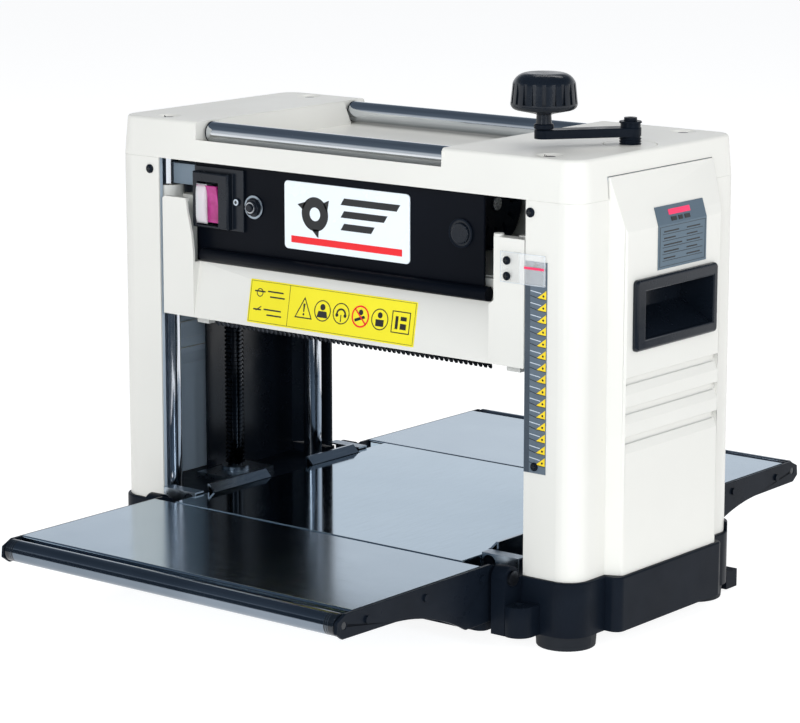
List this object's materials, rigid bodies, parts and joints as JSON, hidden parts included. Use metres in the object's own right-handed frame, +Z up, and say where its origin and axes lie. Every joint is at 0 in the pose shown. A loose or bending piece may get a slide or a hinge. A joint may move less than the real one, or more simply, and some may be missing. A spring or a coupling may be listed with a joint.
{
  "type": "thickness planer",
  "caption": "Portable bench thickness planer with a crank-lifted cutter head between two columns, a polished bed, folding roller tables and return rollers on its top cover.",
  "frame": {"origin": "on the floor under the middle of the body, level with the undersides of the rubber feet", "axes": "+X to the operator's right at the infeed side, +Y from the infeed side to the outfeed side, +Z up"},
  "size_m": [0.551, 0.686, 0.474],
  "materials": {
    "black_base": "satin black moulded base",
    "foot_rubber": "matte black rubber",
    "cream_paint": "semi-gloss warm off-white powder coat",
    "cream_casting": "satin off-white paint on a casting",
    "bed_steel": "polished planing bed",
    "table_steel": "polished sheet with a fine brushed grain",
    "dark_steel": "blackened steel",
    "bracket_steel": "dark grey zinc",
    "chrome": "mirror chrome",
    "bronze": "sintered bronze",
    "black_plastic": "semi-gloss black moulding",
    "grey_plastic": "grey moulded cover",
    "black_paint": "satin black paint",
    "red_rocker": "translucent red rocker",
    "badge_white": "pale printed badge with a red bar and no lettering",
    "label_yellow": null,
    "plate_grey": "printed aluminium plate without lettering",
    "scale_grey": "printed height scale",
    "clear_plastic": "clear acrylic",
    "belt_rubber": "ribbed rubber",
    "motor_paint": "black enamel",
    "rotor_steel": "ground steel",
    "feed_rubber": "matte rubber roller"
  },
  "bodies": {
    "base_frame": {"base": "black_base", "feet": "foot_rubber", "hinge_pins": "dark_steel", "bed_plate": "bed_steel", "bed_guides": "dark_steel", "corner_brackets": "bracket_steel", "guide_posts": "chrome", "top_frame": "bracket_steel", "leadscrew_bearings": "bracket_steel", "lift_chain": "dark_steel", "side_cover_right": "cream_paint", "side_cover_left": "cream_paint", "handle_recesses": "black_plastic", "column_liners": "black_plastic", "data_plate": "plate_grey", "height_scale": "scale_grey", "top_cover": "cream_paint", "cover_screws": "black_paint"},
    "head": {"head_casting": "cream_casting", "head_bushings": "bronze", "lift_nuts": "bronze", "front_cover": "cream_paint", "front_panel": "black_plastic", "rear_cover": "cream_paint", "cord_gland": "black_plastic", "switch_plate": "black_plastic", "breaker_nut": "black_plastic", "badge": "badge_white", "panel_plug": "black_plastic", "warning_label": "label_yellow", "height_pointer": "clear_plastic", "head_screws": "black_paint", "drive_belt": "belt_rubber", "motor_housing": "motor_paint", "head_bearings": "bracket_steel", "drive_covers": "grey_plastic", "anti_kickback_rod": "dark_steel"},
    "crank": {"crank_arm": "black_paint", "crank_screw": "chrome", "leadscrew_right": "dark_steel"},
    "crank_knob": {"crank_knob": "black_plastic"},
    "left_screw": {"leadscrew_left": "dark_steel"},
    "cutter": {"cutterhead": "rotor_steel", "cutter_knives": "rotor_steel"},
    "rotor": {"motor_rotor": "rotor_steel"},
    "infeed_feed": {"infeed_feed_roller": "feed_rubber"},
    "outfeed_feed": {"outfeed_feed_roller": "feed_rubber"},
    "kickback_fingers": {"anti_kickback_fingers": "dark_steel"},
    "rocker": {"switch_rocker": "red_rocker"},
    "reset_button": {"breaker_button": "black_plastic"},
    "front_return_roller": {"top_roller_front": "chrome"},
    "rear_return_roller": {"top_roller_rear": "chrome"},
    "infeed_table": {"infeed_table": "table_steel", "infeed_table_arms": "black_paint", "infeed_table_screws": "black_paint"},
    "infeed_end_roller": {"infeed_table_roller": "chrome"},
    "outfeed_table": {"outfeed_table": "table_steel", "outfeed_table_arms": "black_paint", "outfeed_table_screws": "black_paint"},
    "outfeed_end_roller": {"outfeed_table_roller": "chrome"}
  },
  "joints": [
    {"name": "head_slide", "type": "slide", "parent": "base_frame", "child": "head", "axis": [0, 0, 1], "range_m": [-0.148, 0]},
    {"name": "crank_turn", "type": "hinge", "parent": "base_frame", "child": "crank", "pos_m": [0.224, 0, 0.4], "axis": [0, 0, 1], "range_deg": [-1, 13321]},
    {"name": "left_screw_turn", "type": "hinge", "parent": "base_frame", "child": "left_screw", "pos_m": [-0.224, 0, 0.4], "axis": [0, 0, 1], "range_deg": [-1, 13321]},
    {"name": "knob_spin", "type": "hinge", "parent": "crank", "child": "crank_knob", "pos_m": [0.178, -0.06, 0.45], "axis": [0, 0, 1], "continuous": true},
    {"name": "cutter_spin", "type": "hinge", "parent": "head", "child": "cutter", "pos_m": [0, 0, 0.2485], "axis": [1, 0, 0], "continuous": true},
    {"name": "rotor_spin", "type": "hinge", "parent": "head", "child": "rotor", "pos_m": [0, 0.018, 0.345], "axis": [1, 0, 0], "continuous": true},
    {"name": "infeed_feed_spin", "type": "hinge", "parent": "head", "child": "infeed_feed", "pos_m": [0, -0.062, 0.2385], "axis": [1, 0, 0], "continuous": true},
    {"name": "outfeed_feed_spin", "type": "hinge", "parent": "head", "child": "outfeed_feed", "pos_m": [0, 0.062, 0.2385], "axis": [1, 0, 0], "continuous": true},
    {"name": "finger_swing", "type": "hinge", "parent": "head", "child": "kickback_fingers", "pos_m": [0, -0.1075, 0.252], "axis": [1, 0, 0], "range_deg": [0, 60]},
    {"name": "rocker_tilt", "type": "hinge", "parent": "head", "child": "rocker", "pos_m": [-0.1505, -0.1075, 0.3395], "axis": [1, 0, 0], "range_deg": [-12, 0]},
    {"name": "reset_press", "type": "slide", "parent": "head", "child": "reset_button", "axis": [0, 1, 0], "range_m": [0, 0.002], "stiffness_N_per_m": 300},
    {"name": "front_roller_spin", "type": "hinge", "parent": "base_frame", "child": "front_return_roller", "pos_m": [0, -0.099, 0.4015], "axis": [1, 0, 0], "continuous": true},
    {"name": "rear_roller_spin", "type": "hinge", "parent": "base_frame", "child": "rear_return_roller", "pos_m": [0, 0.099, 0.4015], "axis": [1, 0, 0], "continuous": true},
    {"name": "infeed_table_fold", "type": "hinge", "parent": "base_frame", "child": "infeed_table", "pos_m": [0, -0.1365, 0.061], "axis": [-1, 0, 0], "range_deg": [0, 90]},
    {"name": "infeed_roller_spin", "type": "hinge", "parent": "infeed_table", "child": "infeed_end_roller", "pos_m": [0, -0.3335, 0.0618], "axis": [1, 0, 0], "continuous": true},
    {"name": "outfeed_table_fold", "type": "hinge", "parent": "base_frame", "child": "outfeed_table", "pos_m": [0, 0.1365, 0.061], "axis": [1, 0, 0], "range_deg": [0, 90]},
    {"name": "outfeed_roller_spin", "type": "hinge", "parent": "outfeed_table", "child": "outfeed_end_roller", "pos_m": [0, 0.3335, 0.0618], "axis": [1, 0, 0], "continuous": true}
  ],
  "couplings": [
    {"joint": "crank_turn", "follows": "head_slide", "rad_per_m": -1570.8},
    {"joint": "left_screw_turn", "follows": "head_slide", "rad_per_m": -1570.8},
    {"joint": "rotor_spin", "follows": "cutter_spin", "ratio": 2},
    {"joint": "infeed_feed_spin", "follows": "cutter_spin", "ratio": -0.0106},
    {"joint": "outfeed_feed_spin", "follows": "cutter_spin", "ratio": -0.0106}
  ]
}
